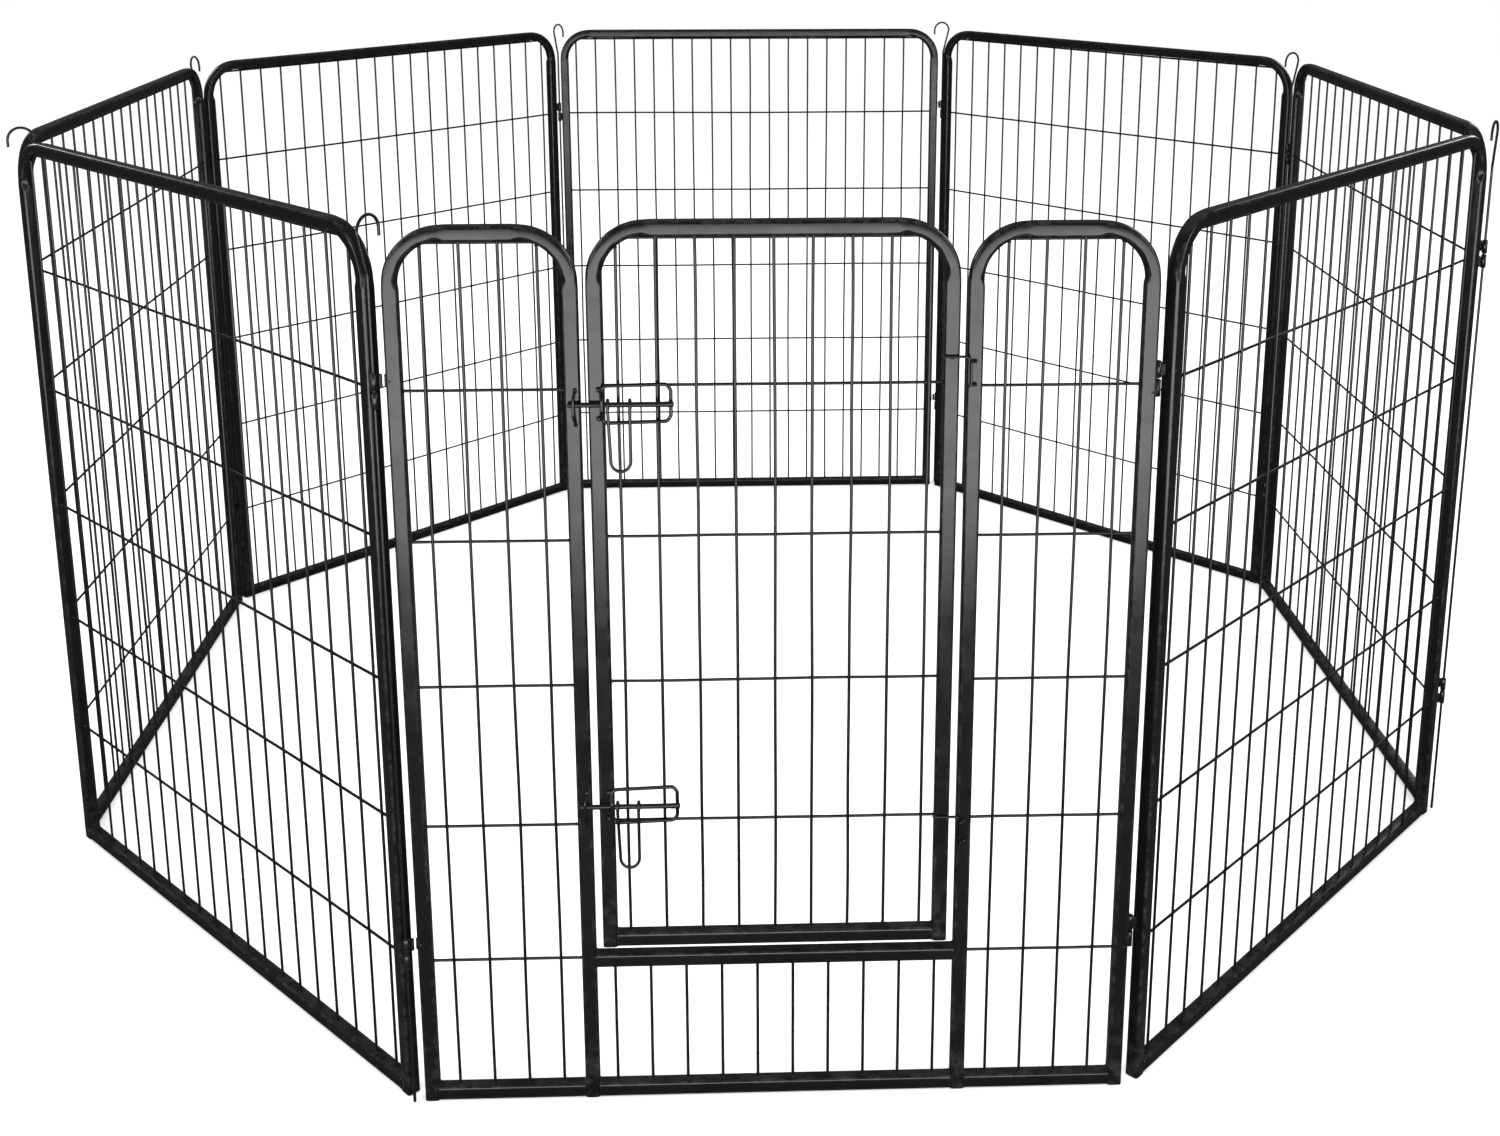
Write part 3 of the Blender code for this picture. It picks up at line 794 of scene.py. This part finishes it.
def build_latch(level, coats, rubbed):
    """A bolt in its wire bracket, its drop handle, and the keeper on the gate's post."""
    origin = np.array(stand(0)[0].translation)
    rng = np.random.default_rng(40 + len(level))

    low, high = (np.array(c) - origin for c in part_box(f"latch_bolt_{level}"))
    axis = (low + high) / 2
    depth, z = axis[1], axis[2]
    shape = Shape()
    xs = np.linspace(low[0], high[0], 28)
    path = np.array([(x, depth, z) for x in xs])
    crimp = np.clip((xs - (high[0] - 0.010)) / 0.004, 0, 1) * np.clip((high[0] - xs) / 0.002, 0.45, 1)
    squash = np.stack([1 - 0.18 * crimp, 1 + 0.22 * crimp], axis=-1)
    rings = circle(BOLT, 16)[None] * squash[:, None]
    tip = np.array([[low[0] + 0.0012, depth, z]])
    path = np.vstack([path[:1], tip, path[1:-1], [[high[0] - 0.0010, depth, z]], path[-1:]])
    sections = np.concatenate([rings[:1] * 0.55, rings[:-1], rings[-2:-1], rings[-1:] * 0.6])
    sweep(shape, path, sections, (0, 1, 0), False)
    shape.piece(f"latch_bolt_{level}_bar", Matrix.Translation(origin), [rubbed], f"latch_bolt_{level}",
                [f"latch_bolt_{level}"])

    low, high = (np.array(c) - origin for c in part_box(f"latch_handle_{level}"))
    eye = BOLT + 0.00035 + HANDLE
    left, right = low[0] + HANDLE, high[0] - HANDLE
    middle, radius = (left + right) / 2, (right - left) / 2
    sweep_angles = np.linspace(math.pi - math.radians(300), math.pi, 22)
    loop = [(depth + eye * math.cos(a), z + eye * math.sin(a)) for a in sweep_angles]
    bottom = low[2] + HANDLE
    taper = 0.0022
    path = [(left, y, h) for y, h in loop]
    path += [(left + taper * t, depth - eye, z + (bottom + radius - z) * t) for t in (0.25, 0.5, 0.75)]
    for a in np.linspace(math.pi, math.tau, 15):
        x = middle + taper / 2 + (radius - taper / 2) * math.cos(a)
        path.append((x, depth - eye, bottom + radius + radius * math.sin(a)))
    path += [(right, depth - eye, z + (bottom + radius - z) * t) for t in (0.75, 0.5, 0.25)]
    path += [(right, y, h) for y, h in reversed(loop)]
    shape = Shape()
    rod(shape, np.array(path), HANDLE, 12)
    shape.piece(f"latch_handle_{level}_wire", Matrix.Translation(origin), coats, f"latch_handle_{level}",
                [f"latch_handle_{level}"])

    low, high = (np.array(c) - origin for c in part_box(f"latch_bracket_{level}"))
    base, top = low[2] + BRACKET, high[2] - BRACKET
    left, right = low[0] + BRACKET + 0.0055, high[0] - BRACKET
    face = -HALF - BRACKET - 0.0001
    before = depth - (BOLT + BRACKET + 0.0005)
    behind = depth + BOLT + BRACKET + 0.0004
    loop = [
        (left - 0.0030, face, top - 0.0045), (left + 0.0015, face, top), (right - 0.004, behind, top),
        (right, behind, top - 0.006), (right, behind, base + 0.006), (right - 0.004, behind, base),
        (left + 0.0015, face, base), (left - 0.0030, face, base + 0.0045),
        (left - 0.0020, before, z - 0.006), (left - 0.0020, before, z + 0.006),
    ]
    shape = Shape()
    path = finely(rounded(loop, 0.0055, 6, closed=True), 0.006, closed=True)
    rod(shape, path, BRACKET, 14, closed=True)
    for height in (top - 0.0045, base + 0.0045):
        blob(shape, (left - 0.0050, face + 0.0010, height), (0.0034, 0.0022, 0.0028), rng, 0.16)
        blob(shape, (left - 0.0025, face + 0.0014, height - math.copysign(0.0025, height - z)),
             (0.0024, 0.0016, 0.0024), rng, 0.16)
    shape.piece(f"latch_bracket_{level}_loop", Matrix.Translation(origin), coats, "door",
                [f"latch_bracket_{level}"])

    low, high = (np.array(c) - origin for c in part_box(f"latch_keeper_{level}"))
    x = (low[0] + high[0]) / 2
    face = -HALF - KEEPER - 0.0001
    before = depth - (BOLT + KEEPER + 0.0005)
    bow = [(x + 0.0005, face, low[2] + KEEPER), (x - 0.0012, before, low[2] + 0.0115),
           (x - 0.0012, before, z + 0.007), (x + 0.0005, face, high[2] - KEEPER)]
    shape = Shape()
    rod(shape, finely(rounded(bow, 0.008, 7), 0.004), KEEPER, 12)
    for end in (bow[0], bow[-1]):
        blob(shape, (end[0], face + 0.0009, end[2]), (0.0022, 0.0014, 0.0030), rng, 0.15)
    shape.piece(f"latch_keeper_{level}_bow", Matrix.Translation(origin), coats, "gate",
                [f"latch_keeper_{level}"])


def build_door_hinge(level, coats):
    """A hook on the door's stile, and the staple on the gate's post that holds it."""
    origin = np.array(stand(0)[0].translation)
    rng = np.random.default_rng(50 + len(level))
    low, high = (np.array(c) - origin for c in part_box(f"door_hook_{level}"))
    start, pin_x, depth = low[0], high[0] - PIN, (low[1] + high[1]) / 2
    arm = high[2] - PIN
    path = rounded([(start, depth, arm), (pin_x, depth, arm), (pin_x, depth, low[2])], 0.0045, 9)
    shape = Shape()
    rod(shape, finely(path, 0.008), PIN, 12)
    blob(shape, (start + 0.0012, -HALF - 0.0006, arm), (0.0030, 0.0014, 0.0022), rng, 0.15)
    blob(shape, (start + 0.0090, -HALF - 0.0004, arm - 0.0014), (0.0026, 0.0012, 0.0017), rng, 0.15)
    shape.piece(f"door_hook_{level}_wire", Matrix.Translation(origin), coats, "door",
                [f"door_hook_{level}"])

    low, high = (np.array(c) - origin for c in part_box(f"door_staple_{level}"))
    bar = (low[0] + STAPLE, low[1] + STAPLE)
    foot = (high[0] - STAPLE * 0.6, high[1] - STAPLE * 0.6)
    knee = (foot[0] - 0.0008, bar[1] + 0.0008)
    base, top = low[2] + STAPLE, high[2] - STAPLE
    path = [(*foot, base), (*knee, base), (*bar, base), (*bar, top), (*knee, top), (*foot, top)]
    shape = Shape()
    rod(shape, finely(rounded(path, 0.0022, 5), 0.006), STAPLE, 12)
    for z in (base, top):
        blob(shape, (foot[0] + 0.0008, foot[1] + 0.0006, z), (0.0022, 0.0014, 0.0020), rng, 0.15)
    shape.piece(f"door_staple_{level}_loop", Matrix.Translation(origin), coats, "gate",
                [f"door_staple_{level}"])


# ---------------------------------------------------------------- studio

def softbox(name, place, target, size, power, shines=True):
    """A rectangular lamp that the camera doesn't see."""
    light = bpy.data.lights.new(name, "AREA")
    light.shape = "RECTANGLE"
    light.size, light.size_y = size
    light.energy = power
    obj = bpy.data.objects.new(name, light)
    bpy.context.scene.collection.objects.link(obj)
    obj.location = place
    obj.rotation_euler = (Vector(target) - Vector(place)).to_track_quat("-Z", "Y").to_euler()
    obj.visible_camera = False
    obj.visible_glossy = shines
    return obj


def dim_in_gloss(tree, plain, dim, output):
    """Show one shader to the camera and a dimmer one to reflections."""
    both = tree.nodes.new("ShaderNodeMixShader")
    tree.links.new(tree.nodes.new("ShaderNodeLightPath").outputs["Is Glossy Ray"], both.inputs["Fac"])
    tree.links.new(plain.outputs[0], both.inputs[1])
    tree.links.new(dim.outputs[0], both.inputs[2])
    tree.links.new(both.outputs[0], tree.nodes[output].inputs["Surface"])


def build_studio(middle):
    """A white sweep that the coat reflects only dimly, with soft lamps for the coat's highlights."""
    mesh = bpy.data.meshes.new("floor")
    edges = [(-1, -1), (1, -1), (1, 1), (-1, 1)]
    mesh.from_pydata([(x * FLOOR_REACH, y * FLOOR_REACH, -0.0002) for x, y in edges], [], [(0, 1, 2, 3)])
    floor = bpy.data.objects.new("floor", mesh)
    bpy.context.scene.collection.objects.link(floor)
    n = Nodes("pale_floor")
    n.plug(n.mix(n.noise(1.4, 3.0), (0.86, 0.86, 0.86), (0.89, 0.89, 0.89)), n.shader.inputs["Base Color"])
    n.shader.inputs["Roughness"].default_value = 0.8
    dim = n.tree.nodes.new("ShaderNodeBsdfDiffuse")
    dim.inputs["Color"].default_value = (FLOOR_IN_GLOSS, FLOOR_IN_GLOSS, FLOOR_IN_GLOSS, 1)
    dim_in_gloss(n.tree, n.shader, dim, "Material Output")
    mesh.materials.append(n.material)

    world = bpy.data.worlds.new("studio")
    bpy.context.scene.world = world
    world.use_nodes = True
    tree = world.node_tree
    sky = tree.nodes["Background"]
    dark = tree.nodes.new("ShaderNodeBackground")
    for node, strength in ((sky, SKY), (dark, SKY_IN_GLOSS)):
        node.inputs["Color"].default_value = (1.0, 1.0, 1.0, 1)
        node.inputs["Strength"].default_value = strength
    dim_in_gloss(tree, sky, dark, "World Output")
    bpy.context.scene.view_settings.view_transform = "Standard"

    softbox("overhead", (0.0, -0.4, 4.4), middle, (5.0, 4.0), 130, shines=False)
    softbox("front", (0.0, -2.35, 0.42), (0, -0.98, 0.42), (3.2, 0.72), 33)
    softbox("left_strip", (-3.0, -2.6, 1.4), middle, (0.25, 2.2), 28)
    softbox("right_strip", (3.0, -2.4, 1.4), middle, (0.25, 2.2), 24)
    softbox("back_left", (-3.4, 2.6, 2.2), middle, (1.2, 1.6), 26)
    softbox("back_right", (3.2, 2.8, 2.2), middle, (1.2, 1.6), 26)


def build_camera():
    """At the front, a little left of the middle, looking down over the gate."""
    camera = bpy.data.cameras.new("camera")
    camera.sensor_width = 36.0
    camera.lens = CAMERA_LENS
    camera.shift_x, camera.shift_y = CAMERA_SHIFT
    obj = bpy.data.objects.new("camera", camera)
    bpy.context.scene.collection.objects.link(obj)
    yaw, pitch, roll = CAMERA_YAW, CAMERA_PITCH, CAMERA_ROLL
    obj.location = CAMERA_PLACE
    ahead = Vector((-math.sin(yaw) * math.cos(pitch), math.cos(yaw) * math.cos(pitch), math.sin(pitch)))
    right = Vector((math.cos(yaw), math.sin(yaw), 0))
    up = right.cross(ahead)
    side = right * math.cos(roll) + up * math.sin(roll)
    over = up * math.cos(roll) - right * math.sin(roll)
    obj.rotation_euler = Matrix((side, over, -ahead)).transposed().to_euler()
    bpy.context.scene.camera = obj


stand_half = stand(1)[1]
top_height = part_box("panel_left")[1].z

coats = [
    powder_coat("frame_coat", (0.0034, 0.0034, 0.0037), 0.22),
    powder_coat("wire_coat", (0.0030, 0.0030, 0.0033), 0.30, peel_scale=900.0),
    powder_coat("weld_coat", (0.0040, 0.0040, 0.0043), 0.34, lumps=0.25),
    bare_bore("tube_bore"),
]
hardware = [
    powder_coat("hardware_coat", (0.0032, 0.0032, 0.0035), 0.26, peel_scale=800.0),
    coats[SLOT_WIRE],
    coats[SLOT_WELD],
]
rods = [rubbed_coat("hinge_rod_coat", (0.0040, 0.0040, 0.0043), 0.28)]
rubbed = rubbed_coat("bolt_coat", (0.0040, 0.0040, 0.0043), 0.26)

build_camera()
build_studio((0, 0, top_height / 2))
for index in range(1, len(PANELS)):
    build_panel(index, coats)
    build_rod(index, rods)
build_gate(coats)
build_door(coats)
for level in ("upper", "lower"):
    build_latch(level, hardware, rubbed)
    build_door_hinge(level, hardware)
